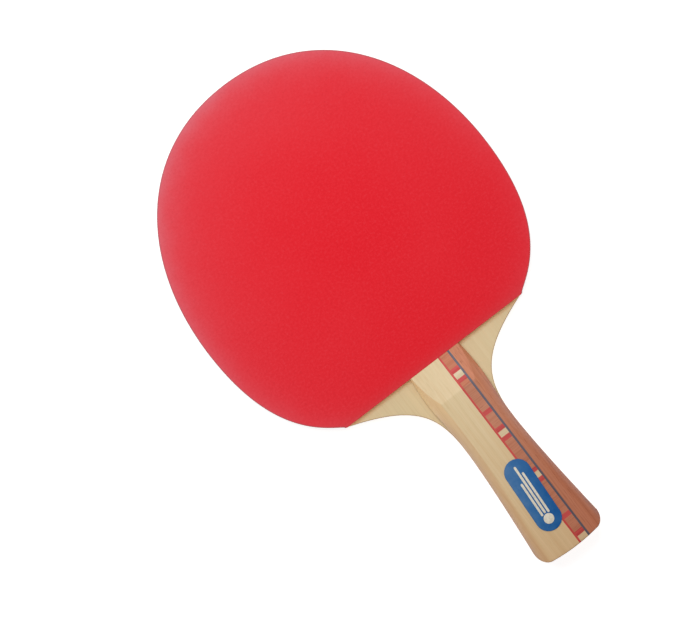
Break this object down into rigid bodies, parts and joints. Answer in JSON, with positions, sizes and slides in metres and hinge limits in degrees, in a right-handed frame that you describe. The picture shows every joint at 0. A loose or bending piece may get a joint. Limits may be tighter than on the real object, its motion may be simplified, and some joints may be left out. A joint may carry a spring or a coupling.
{
  "type": "table tennis paddle",
  "caption": "Table tennis paddle with a layered wooden blade, a red and a black sponge-backed rubber, and a flared, laminated grip with a band of inlaid blocks.",
  "frame": {"origin": "centre of the bottom face of the bounding box, level with the flat of the back grip scale", "axes": "+Y along the paddle from the handle to the tip of the head, +Z out of the front (red) face, +X to the right seen from the front with the tip up"},
  "size_m": [0.15, 0.248, 0.0229],
  "materials": {
    "core_ply": "sanded ply edge, light lacquer",
    "inner_ply": "sanded ply edge, light lacquer",
    "outer_ply": "fine straight grain, satin lacquer",
    "sponge": "matt closed-cell foam",
    "red_rubber": "smooth matt rubber with a faint sheen",
    "black_rubber": "smooth matt rubber with a faint sheen",
    "pale_wood": "straight grain, satin lacquer",
    "red_veneer": "dyed veneer, satin lacquer",
    "blue_veneer": "dyed veneer, satin lacquer",
    "brown_wood": "straight grain, satin lacquer",
    "brown_inlay": "cross grain, satin lacquer",
    "red_inlay": "dyed cross grain, satin lacquer",
    "cream_inlay": "fine grain, satin lacquer",
    "badge": "satin printed film with a rounded edge",
    "emblem": "satin raised print"
  },
  "bodies": {
    "root": {"core_ply": "core_ply", "front_inner_ply": "inner_ply", "front_outer_ply": "outer_ply", "back_inner_ply": "inner_ply", "back_outer_ply": "outer_ply", "front_sponge": "sponge", "front_topsheet": "red_rubber", "back_sponge": "sponge", "back_topsheet": "black_rubber", "front_grip_blue_veneer": "blue_veneer", "front_grip_brown_strip": "brown_wood", "front_grip_pale_strip": "pale_wood", "front_grip_red_veneer": "red_veneer", "front_inlay_01_brown": "brown_inlay", "front_inlay_02_red": "red_inlay", "front_inlay_03_cream": "cream_inlay", "front_inlay_04_red": "red_inlay", "front_inlay_05_brown": "brown_inlay", "front_inlay_06_red": "red_inlay", "front_inlay_07_brown": "brown_inlay", "front_inlay_08_red": "red_inlay", "front_inlay_09_cream": "cream_inlay", "front_inlay_10_red": "red_inlay", "front_inlay_11_brown": "brown_inlay", "front_inlay_12_red": "red_inlay", "front_inlay_13_cream": "cream_inlay", "front_inlay_14_red": "red_inlay", "front_inlay_15_brown": "brown_inlay", "front_inlay_16_red": "red_inlay", "front_inlay_17_brown": "brown_inlay", "front_inlay_18_red": "red_inlay", "front_inlay_19_cream": "cream_inlay", "badge_plate": "badge", "badge_emblem": "emblem", "back_grip_blue_veneer": "blue_veneer", "back_grip_brown_strip": "brown_wood", "back_grip_pale_strip": "pale_wood", "back_grip_red_veneer": "red_veneer", "back_inlay_01_brown": "brown_inlay", "back_inlay_02_red": "red_inlay", "back_inlay_03_cream": "cream_inlay", "back_inlay_04_red": "red_inlay", "back_inlay_05_brown": "brown_inlay", "back_inlay_06_red": "red_inlay", "back_inlay_07_brown": "brown_inlay", "back_inlay_08_red": "red_inlay", "back_inlay_09_cream": "cream_inlay", "back_inlay_10_red": "red_inlay", "back_inlay_11_brown": "brown_inlay", "back_inlay_12_red": "red_inlay", "back_inlay_13_cream": "cream_inlay", "back_inlay_14_red": "red_inlay", "back_inlay_15_brown": "brown_inlay", "back_inlay_16_red": "red_inlay", "back_inlay_17_brown": "brown_inlay", "back_inlay_18_red": "red_inlay", "back_inlay_19_cream": "cream_inlay"}
  },
  "joints": []
}
